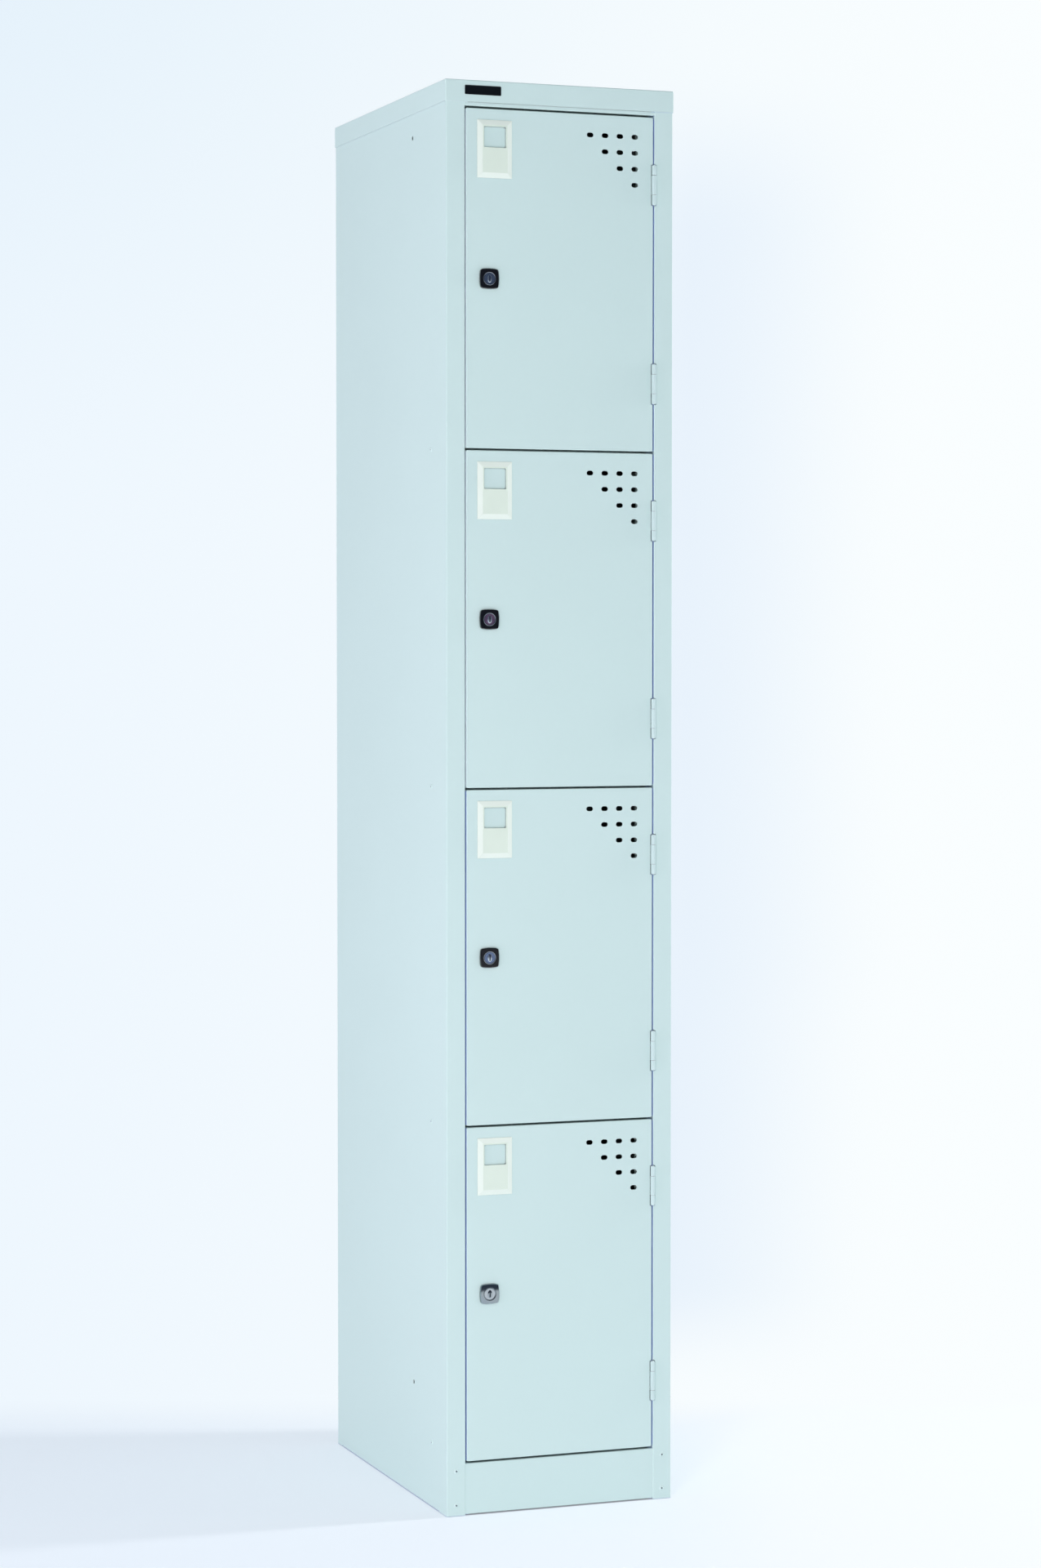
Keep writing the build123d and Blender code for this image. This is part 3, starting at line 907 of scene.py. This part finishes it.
def copy_piece(piece: Piece, name: str, offset: Vector) -> Piece:
    """Copy a piece with a mesh of its own.

    Args:
        piece: The piece that was modelled.
        name: The copy's name.
        offset: How far the copy stands from it.

    Returns:
        The copy.
    """
    twin = piece.copy()
    twin.data = piece.data.copy()
    twin.name = name
    twin.data.transform(Matrix.Translation(offset))
    bpy.context.scene.collection.objects.link(twin)
    return twin


def hand_over(piece: Piece, finish: Finish, body: str) -> None:
    """Give a finished piece its material and the body that it moves with.

    Args:
        piece: The piece.
        finish: Its finish.
        body: The CAD body that it rides on.
    """
    piece.data.materials.clear()
    piece.data.materials.append(finish.material())
    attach(piece, body)
    log.info("piece %s has %d faces and rides on %s", piece.name, len(piece.data.polygons), body)


@dataclass
class Carcass:
    """Folded cabinet with its shelves, plinth, rivets and a blank badge plate."""

    body: str = "cabinet"
    badge_from_edge: float = 25.6 * MM
    badge_width: float = 48.0 * MM
    badge_height: float = 11.5 * MM
    badge_above_lip: float = 9.0 * MM
    badge_proud: float = 0.5 * MM
    badge_corner: float = 1.2 * MM
    badge_slope_share: float = 1 / 2
    badge_sink_share: float = 1 / 3
    badge_softness_share: float = 1 / 5
    mandrel_radius: float = 0.92 * MM
    mandrel_below_face: float = 0.15 * MM
    mandrel_length: float = 0.7 * MM
    mandrel_sides: int = 20
    mandrel_rim_share: float = 0.45
    mandrel_peak_share: float = 0.8
    mandrel_softness_share: float = 1 / 12
    rivet_reach: float = 10.0 * MM

    def build(self) -> None:
        """Dress the cabinet's nodes and make its small fittings."""
        for name in nodes_of(self.body):
            dress(name)
        self.badge()
        self.mandrels("plinth_rivets", lambda middle: Facing.FRONT)
        self.mandrels("side_rivets", lambda middle: Facing.LEFT if middle.x < 0 else Facing.RIGHT)
        for node in ("back_shelf_rivets", "back_edge_rivets"):
            self.mandrels(node, lambda middle: Facing.BACK)

    def badge(self) -> None:
        """Model the plain plate on the cover's front lip."""
        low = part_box("top_cover")[0]
        near = Vector((low.x + self.badge_from_edge, low.y - self.badge_proud, low.z + self.badge_above_lip))
        size = Vector((self.badge_width, self.badge_proud, self.badge_height))
        plate = block("badge_plate", near, near + size)
        with editing(plate, edges=running(Facing.BACK.vector)):
            bpy.ops.mesh.bevel(offset=self.badge_corner, segments=CORNER_STEPS)
        with editing(plate, faces=looking(Facing.FRONT.vector)):
            bpy.ops.mesh.inset(thickness=self.badge_proud)
            bpy.ops.mesh.inset(thickness=self.badge_proud * self.badge_slope_share)
            bpy.ops.transform.translate(value=Facing.BACK.vector * self.badge_proud * self.badge_sink_share)
        soften(plate, self.badge_proud * self.badge_softness_share)
        hand_over(plate, BADGE_METAL, self.body)

    def mandrels(self, node: str, facing: Callable[[Vector], Facing]) -> None:
        """Model the broken stem in each rivet's head.

        Args:
            node: The CAD node that holds the rivets.
            facing: Tells which way a rivet with a given middle faces.
        """
        stems = []
        for low, high in self.rivet_boxes(node):
            middle = (low + high) / 2
            way = facing(middle).vector
            to_face = abs((high - low).dot(way)) / 2
            centre = middle + way * (to_face - self.mandrel_below_face - self.mandrel_length / 2)
            stem = drum("stem", centre, way, self.mandrel_radius, self.mandrel_length, self.mandrel_sides)
            with editing(stem, faces=looking(way)):
                bpy.ops.mesh.inset(thickness=self.mandrel_radius * self.mandrel_rim_share)
                peak = self.mandrel_below_face * self.mandrel_peak_share
                bpy.ops.transform.translate(value=way * peak)
            stems.append(stem)
        single_out(stems[0])
        for stem in stems:
            stem.select_set(True)
        bpy.ops.object.join()
        joined = bpy.context.object
        joined.name = node.replace("rivets", "mandrels")
        soften(joined, self.mandrel_radius * self.mandrel_softness_share, 1)
        hand_over(joined, MANDREL_STEEL, self.body)

    def rivet_boxes(self, node: str) -> list[tuple[Vector, Vector]]:
        """Find each rivet's lowest and highest corner in a node's mesh.

        Args:
            node: The CAD node that holds the rivets.

        Returns:
            One pair of corners for each rivet.
        """
        groups: list[list[Vector]] = []
        for vertex in frame["nodes"][node].data.vertices:
            near = (group for group in groups if (group[0] - vertex.co).length < self.rivet_reach)
            group = next(near, None)
            if group is None:
                groups.append([vertex.co.copy()])
            else:
                group.append(vertex.co.copy())
        return [(Vector(map(min, *group)), Vector(map(max, *group))) for group in groups]


@dataclass
class CardHolder:
    """Moulded holder with mitred bevels, a window and a pocket for the card."""

    edge: float = 0.8 * MM
    bevel: float = 6.5 * MM
    softness: float = 0.35 * MM
    soft_angle: float = 15.0
    window_width: float = 29.4 * MM
    window_height: float = 26.0 * MM
    window_below_top: float = 8.2 * MM
    window_corner: float = 1.2 * MM
    pocket_depth: float = 1.0 * MM
    pocket_margin: float = 3.0 * MM
    peg_radius: float = 1.5 * MM
    peg_from_end: float = 8.5 * MM
    overrun: float = 1.0 * MM

    def build(self) -> None:
        """Model the top door's holder and copy it to the doors below."""
        first = self.model()
        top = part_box("card_holder_1")[0]
        for tier in range(2, TIERS + 1):
            twin = copy_piece(first, f"card_holder_shell_{tier}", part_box(f"card_holder_{tier}")[0] - top)
            self.fit(twin, tier)
        self.fit(first, 1)

    def fit(self, shell: Piece, tier: int) -> None:
        """Put a holder on its door in place of the CAD node."""
        hand_over(shell, FINISHES[Slot.HOLDER_PLASTIC], f"door_{tier}")
        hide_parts(f"card_holder_{tier}")

    def model(self) -> Piece:
        """Shape the holder of the top door.

        Returns:
            The holder's shell.
        """
        low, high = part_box("card_holder_1")
        door_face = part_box("door_panel_1")[0].y
        proud = door_face - low.y
        front = Facing.FRONT.vector
        foot = Vector((low.x, door_face - self.edge, low.z))
        shell = block("card_holder_shell_1", foot, Vector((high.x, door_face, high.z)))
        with editing(shell, faces=looking(front)):
            bpy.ops.mesh.inset(thickness=self.bevel)
            bpy.ops.transform.translate(value=front * (proud - self.edge))
        middle = (low.x + high.x) / 2
        window_top = high.z - self.window_below_top
        window_low = Vector((middle - self.window_width / 2, low.y, window_top - self.window_height))
        window_high = Vector((middle + self.window_width / 2, door_face, window_top))
        through = Vector((0, self.overrun, 0))
        window = block("window_cutter", window_low - through, window_high + through)
        with editing(window, edges=running(front)):
            bpy.ops.mesh.bevel(offset=self.window_corner, segments=CORNER_STEPS)
        combine(shell, window, "DIFFERENCE")
        margin = Vector((self.pocket_margin, 0, self.pocket_margin))
        pocket_low = Vector((window_low.x, door_face - self.pocket_depth, window_low.z)) - margin
        combine(shell, block("pocket_cutter", pocket_low, window_high + through + margin), "DIFFERENCE")
        for level in (low.z + self.peg_from_end, window_low.z - self.peg_from_end):
            near = door_face - self.edge / 2
            centre = Vector((middle, (near + high.y) / 2, level))
            combine(shell, drum("peg", centre, front, self.peg_radius, high.y - near), "UNION")
        soften(shell, self.softness, angle=self.soft_angle)
        return shell


@dataclass
class Door:
    """One tier's door with its hinges."""

    tier: int

    def build(self) -> None:
        """Dress the door's nodes."""
        for name in nodes_of(f"door_{self.tier}"):
            dress(name)


@dataclass
class LockTrim:
    """Ring, keyway boss and barrel thread of the cam locks."""

    ring_radius: float = 7.85 * MM
    ring_wire: float = 0.45 * MM
    ring_wire_sides: int = 10
    ring_steps: int = 64
    boss_half_width: float = 2.9 * MM
    boss_half_height: float = 4.95 * MM
    boss_rise: float = 0.75 * MM
    boss_sides: int = 40
    boss_softness: float = 0.06 * MM
    keyway_width: float = 1.5 * MM
    keyway_height: float = 8.0 * MM
    thread_pitch: float = 1.5 * MM
    thread_height: float = 0.25 * MM
    thread_steps: int = 40
    thread_end_gap: float = 0.6 * MM
    barrel_radius: float = 9.4 * MM
    barrel_flat: float = 8.02 * MM

    def build(self) -> None:
        """Model the top lock's trim, copy it to the locks below and dress the locks."""
        pieces = {"trim_ring": self.ring(), "keyway_boss": self.boss(), "barrel_thread": self.thread()}
        for tier in range(1, TIERS + 1):
            door, lock = f"door_{tier}", f"lock_{tier}"
            place = lock_axis(tier)
            bright = FINISHES[Slot.LOCK_CHROME] if tier == TIERS else TRIM_METAL
            finishes = {
                "trim_ring": (bright, door),
                "keyway_boss": (bright, lock),
                "barrel_thread": (FINISHES[node_slot(f"lock_housing_{tier}")], door),
            }
            for kind, (finish, body) in finishes.items():
                piece = pieces[kind]
                if tier > 1:
                    piece = copy_piece(piece, f"{kind}_{tier}", place - lock_axis(1))
                hand_over(piece, finish, body)
            plug = TurnedMetal(f"plug_metal_{tier}", PAINTED_PLUG_REFLECTIONS[tier], axis=tuple(place))
            for name in nodes_of(lock):
                dress(name, plug if name.startswith("lock_plug") else None)

    def ring(self) -> Piece:
        """Spin the bright ring that lies in the face's recess.

        Returns:
            The top lock's ring.
        """
        centre = lock_axis(1)
        ring = start(
            "trim_ring_1", bpy.ops.mesh.primitive_circle_add, vertices=self.ring_wire_sides,
            radius=self.ring_wire, location=centre + Vector((self.ring_radius, self.ring_wire / 2, 0)),
        )
        with editing(ring):
            bpy.ops.mesh.spin(steps=self.ring_steps, angle=2 * math.pi, center=centre, axis=(0, 1, 0))
            bpy.ops.mesh.select_all(action="SELECT")
            bpy.ops.mesh.remove_doubles(threshold=MERGE_REACH)
            bpy.ops.mesh.normals_make_consistent(inside=False)
        single_out(ring)
        bpy.ops.object.shade_smooth()
        return ring

    def boss(self) -> Piece:
        """Dome the plug's face round the keyway.

        Returns:
            The top lock's boss.
        """
        centre = lock_axis(1)
        boss = start(
            "keyway_boss_1", bpy.ops.mesh.primitive_uv_sphere_add,
            segments=self.boss_sides, ring_count=self.boss_sides // 2, radius=1, location=centre,
            scale=(self.boss_half_width, self.boss_rise, self.boss_half_height),
        )
        with editing(boss):
            bpy.ops.mesh.bisect(plane_co=centre, plane_no=(0, 1, 0), use_fill=True, clear_outer=True)
        half = Vector((self.keyway_width / 2, 2 * self.boss_rise, self.keyway_height / 2))
        combine(boss, block("keyway_cutter", centre - half, centre + half), "DIFFERENCE")
        soften(boss, self.boss_softness)
        return boss

    def thread(self) -> Piece:
        """Wind the thread on the barrel behind the nut, and cut it at the barrel's flats.

        Returns:
            The top lock's thread.
        """
        centre = lock_axis(1)
        front_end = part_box("lock_nut_1")[1].y + self.thread_end_gap
        back_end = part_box("lock_housing_1")[1].y - self.thread_end_gap
        turns = math.floor((back_end - front_end) / self.thread_pitch)
        thread = start(
            "barrel_thread_1", bpy.ops.mesh.primitive_circle_add,
            vertices=3, radius=self.thread_pitch / 2, fill_type="NGON",
            location=(self.barrel_radius, 0, 0), rotation=(0, 0, -math.pi / 2),
            scale=(1, self.thread_height / self.thread_pitch, 1),
        )
        apply_modifier(
            thread, "SCREW", axis="Y", steps=self.thread_steps, render_steps=self.thread_steps,
            iterations=turns, screw_offset=self.thread_pitch, use_merge_vertices=True,
        )
        with editing(thread):
            bpy.ops.mesh.fill_holes(sides=0)
            bpy.ops.mesh.select_all(action="SELECT")
            bpy.ops.mesh.normals_make_consistent(inside=False)
        thread.location = (centre.x, front_end, centre.z)
        settle(thread)
        half = Vector((self.barrel_flat, back_end, 2 * self.barrel_radius))
        combine(thread, block("flats_cutter", centre - half, centre + half), "INTERSECT")
        single_out(thread)
        bpy.ops.object.shade_smooth_by_angle(angle=math.radians(SHARP_ANGLE))
        return thread


@dataclass(frozen=True)
class SoftBox:
    """A large soft lamp that looks at a point."""

    name: str
    place: tuple[float, float, float]
    aim: tuple[float, float, float]
    size: tuple[float, float]
    power: float
    colour: Colour

    def light(self) -> None:
        """Hang the lamp, out of the camera's sight and of reflections."""
        lamp = bpy.data.lights.new(self.name, "AREA")
        lamp.shape = "RECTANGLE"
        lamp.size, lamp.size_y = self.size
        lamp.energy = self.power
        lamp.color = self.colour
        holder = bpy.data.objects.new(self.name, lamp)
        holder.location = self.place
        holder.rotation_euler = (Vector(self.aim) - Vector(self.place)).to_track_quat("-Z", "Y").to_euler()
        holder.visible_camera = False
        holder.visible_glossy = False
        bpy.context.scene.collection.objects.link(holder)
        log.info("lamp %s of %.0f W", self.name, self.power)


@dataclass
class Studio:
    """Pale floor that fades into a pale surround, with a painted shadow band on both and a painted contact
    shadow, and soft lamps.
    """

    left_colour: Colour = srgb(237, 246, 254)
    right_colour: Colour = srgb(250, 254, 255)
    upper_colour: Colour = srgb(228, 241, 251)
    # Colour of the painted shadow band on the backdrop and floor, right of the object
    painted_shadow_band_colour: Colour = srgb(232, 242, 252)
    room_colour: Colour = srgb(70, 78, 92)
    floor_colour: Colour = srgb(240, 248, 255)
    floor_radius: float = 9.0
    floor_sides: int = 96
    floor_fade: Span = Span(5.0, floor_radius)
    floor_level: float = -0.4 * MM
    floor_bearing: Span = Span(-0.21, 0.17)
    # Where the painted shadow band lies on the floor, by bearing and by depth behind the object
    floor_painted_shadow_band: tuple[Span, Span] = (Span(0.014, 0.046), Span(0.038, 0.106, 1.0, 0.0))
    floor_painted_shadow_depth: Span = Span(0.5, 1.5)
    backdrop_centre: float = 4.82
    least_reach: float = 1.0
    near_amount: float = 0.385
    floor_glow: float = 0.3
    glow_outward: Span = Span(0.75, 1.6, floor_glow)
    glow_behind: Span = Span(0.18, 0.48, floor_glow)
    glow_right: Span = Span(0.05, 0.45, 0.0, 0.8)
    # Colour of the painted contact shadow where the floor meets the object
    painted_contact_shadow: Colour = srgb(70, 78, 110)
    surround_rise: Span = Span(0.02, 0.2)
    surround_right: Span = Span(0.15, 0.5)
    # Where the painted shadow band lies in the surround, by direction
    surround_painted_shadow_band: tuple[tuple[str, Span], ...] = (
        ("X", Span(0.36, 0.39)), ("X", Span(0.382, 0.445, 1.0, 0.0)),
        ("Z", Span(0.11, 0.16, 1.0, 0.0)), ("Y", Span(0.4, 0.8)),
    )
    room_before: Span = Span(0.1, -0.3)
    room_above: Span = Span(0.25, 0.6)
    fill_colour: Colour = (0.36, 0.41, 0.46)
    back_fill_colour: Colour = (0.94, 0.96, 1.03)
    zenith_fill_colour: Colour = (0.4, 0.43, 0.47)
    fill_behind: Span = Span(-0.3, 0.6)
    fill_rise: Span = Span(0.3, 1.0)
    shown_rays: tuple[str, ...] = ("Camera", "Glossy", "Transmission")
    lamps: tuple[SoftBox, ...] = (
        SoftBox("right", (2.0, -0.33, 1.5), (0.0, 0.0, 0.6), (0.2, 0.7), 21.0, (1.0, 0.93, 0.93)),
        SoftBox("front left", (-2.0, -3.2, 2.1), (0.0, 0.0, 1.2), (0.5, 1.8), 33.0, (1.0, 0.97, 0.96)),
        SoftBox("low front", (-1.6, -3.4, 0.1), (0.0, 0.0, 0.4), (0.9, 0.4), 52.0, (1.0, 0.85, 0.87)),
        SoftBox("right strip", (3.6, -1.7, 0.7), (0.0, 0.0, 0.8), (0.5, 2.4), 14.0, (1.0, 0.91, 0.95)),
        SoftBox("left strip", (-3.3, -1.2, 0.9), (0.0, 0.0, 0.9), (0.8, 3.0), 13.5, (1.0, 0.8, 0.92)),
        SoftBox("low left", (-2.4, -0.6, 0.12), (0.0, 0.0, 0.4), (0.8, 0.2), 8.0, (1.0, 0.85, 0.97)),
    )

    def build(self) -> None:
        """Lay the floor, light the surround and hang the lamps."""
        self.floor()
        self.surround()
        for lamp in self.lamps:
            lamp.light()

    def shown_by(self, bench: Bench) -> Socket:
        """Tell rays that show the studio, directly, in gloss or through glass, from those that light it."""
        path = bench.add("ShaderNodeLightPath").outputs
        return bench.merge("ADD", (path[f"Is {ray} Ray"] for ray in self.shown_rays), clamp=True)

    def floor(self) -> None:
        """Lay a pale floor that keeps the object's shadow, with a painted contact shadow at the object's
        foot, and can't be seen from below.
        """
        ground = start(
            "studio_floor", bpy.ops.mesh.primitive_circle_add, vertices=self.floor_sides,
            radius=self.floor_radius, fill_type="NGON", location=(0, 0, self.floor_level),
        )
        paint = bpy.data.materials.new("studio_floor")
        bench = Bench.cleared(paint)
        place = bench.own_coordinates()
        sine, cosine = math.sin(VIEW_TURN), math.cos(VIEW_TURN)
        aside = bench.along(place, (cosine, -sine, 0.0))
        behind = bench.along(place, (sine, cosine, 0.0))
        distance = bench.length(place)
        glows = ((distance, self.glow_outward), (behind, self.glow_behind), (aside, self.glow_right))
        glowing = bench.merge("MAXIMUM", (bench.ramp(*pair) for pair in glows))
        growth = (1 - self.near_amount) / (1 - self.floor_glow)
        amount = bench.math("MULTIPLY_ADD", glowing, growth, 1 - growth)
        strength = bench.math("DIVIDE", amount, glowing)
        # Painted contact shadow along the object's foot
        contact = PaintedGapShade().place(bench, **PAINTED_CONTACT_SHADOW)
        paper = bench.mix(contact, self.floor_colour, self.painted_contact_shadow)
        lined = bench.mix(contact, self.floor_tone(bench, aside, behind), self.painted_contact_shadow)
        lit = bench.add("ShaderNodeBsdfDiffuse", {"Color": paper}).outputs[0]
        glow = bench.add("ShaderNodeEmission", {"Color": lined, "Strength": strength}).outputs[0]
        surface = bench.mix_shaders(bench.product(self.shown_by(bench), glowing), lit, glow)
        rim = bench.ramp(distance, self.floor_fade)
        below = bench.add("ShaderNodeNewGeometry").outputs["Backfacing"]
        clear = bench.add("ShaderNodeBsdfTransparent").outputs[0]
        shown = bench.mix_shaders(bench.math("MAXIMUM", rim, below), surface, clear)
        bench.add("ShaderNodeOutputMaterial", {"Surface": shown})
        ground.data.materials.append(paint)

    def floor_tone(self, bench: Bench, aside: Socket, behind: Socket) -> Socket:
        """Carry the backdrop's colours and its painted shadow band on over the floor, by the bearing at
        which a place lies.

        Args:
            bench: Adds nodes to the floor's tree.
            aside: How far a place lies to the right, as the camera sees it.
            behind: How far it lies behind the object.

        Returns:
            The colour's socket.
        """
        reach = bench.math("MAXIMUM", bench.math("ADD", behind, self.backdrop_centre), self.least_reach)
        bearing = bench.math("DIVIDE", aside, reach)
        plain = bench.mix(bench.ramp(bearing, self.floor_bearing), self.left_colour, self.right_colour)
        # Painted shadow band behind and right of the object
        strip = (bench.ramp(bearing, span) for span in self.floor_painted_shadow_band)
        shade = bench.product(*strip, bench.ramp(behind, self.floor_painted_shadow_depth))
        return bench.mix(shade, plain, self.painted_shadow_band_colour)

    def surround(self) -> None:
        """Light the object evenly, and show a pale backdrop with a painted shadow band, with a darker room
        in reflections.
        """
        world = bpy.data.worlds.new("studio")
        bpy.context.scene.world = world
        bench = Bench.cleared(world)
        axes = bench.axes(bench.add("ShaderNodeTexCoord").outputs["Generated"])
        left = bench.mix(bench.ramp(axes["Z"], self.surround_rise), self.left_colour, self.upper_colour)
        plain = bench.mix(bench.ramp(axes["X"], self.surround_right), left, self.right_colour)
        # Painted shadow band right of the object
        shade = bench.product(*(bench.ramp(axes[axis], span) for axis, span in self.surround_painted_shadow_band))
        backdrop = bench.mix(shade, plain, self.painted_shadow_band_colour)
        before = bench.ramp(axes["Y"], self.room_before)
        dark = bench.math("MAXIMUM", before, bench.ramp(axes["Z"], self.room_above))
        room = bench.product(dark, bench.add("ShaderNodeLightPath").outputs["Is Glossy Ray"])
        view = bench.mix(room, backdrop, self.room_colour)
        level = bench.mix(bench.ramp(axes["Y"], self.fill_behind), self.fill_colour, self.back_fill_colour)
        light = bench.mix(bench.ramp(axes["Z"], self.fill_rise), level, self.zenith_fill_colour)
        fill, shown = (bench.add("ShaderNodeBackground", {0: colour}).outputs[0] for colour in (light, view))
        both = bench.mix_shaders(self.shown_by(bench), fill, shown)
        bench.add("ShaderNodeOutputWorld", {"Surface": both})


@dataclass
class ViewCamera:
    """The camera that stands where the photograph was taken from."""

    place: tuple[float, float, float] = (-1.6452, -4.5293, 1.0928)
    turn_right: float = VIEW_TURN
    tilt_up: float = -0.0371
    focal_pixels: float = 4463.3
    image_height: float = 1920.0
    sensor: float = 36.0

    def build(self) -> None:
        """Set up the camera."""
        lens = bpy.data.cameras.new("view")
        lens.sensor_width = self.sensor
        lens.lens = self.focal_pixels / self.image_height * self.sensor
        holder = bpy.data.objects.new("view", lens)
        holder.location = self.place
        holder.rotation_euler = (math.pi / 2 + self.tilt_up, 0, -self.turn_right)
        bpy.context.scene.collection.objects.link(holder)
        bpy.context.scene.camera = holder
        log.info("camera of %.1f mm", lens.lens)


def main() -> None:
    """Build the camera, the studio and the locker's looks, in that order."""
    logging.basicConfig(level=logging.INFO, format="%(name)s: %(message)s")
    bpy.context.scene.view_settings.view_transform = "Standard"
    ViewCamera().build()
    Studio().build()
    Carcass().build()
    for tier in range(1, TIERS + 1):
        Door(tier).build()
    CardHolder().build()
    LockTrim().build()


if __name__ == "__main__":
    main()
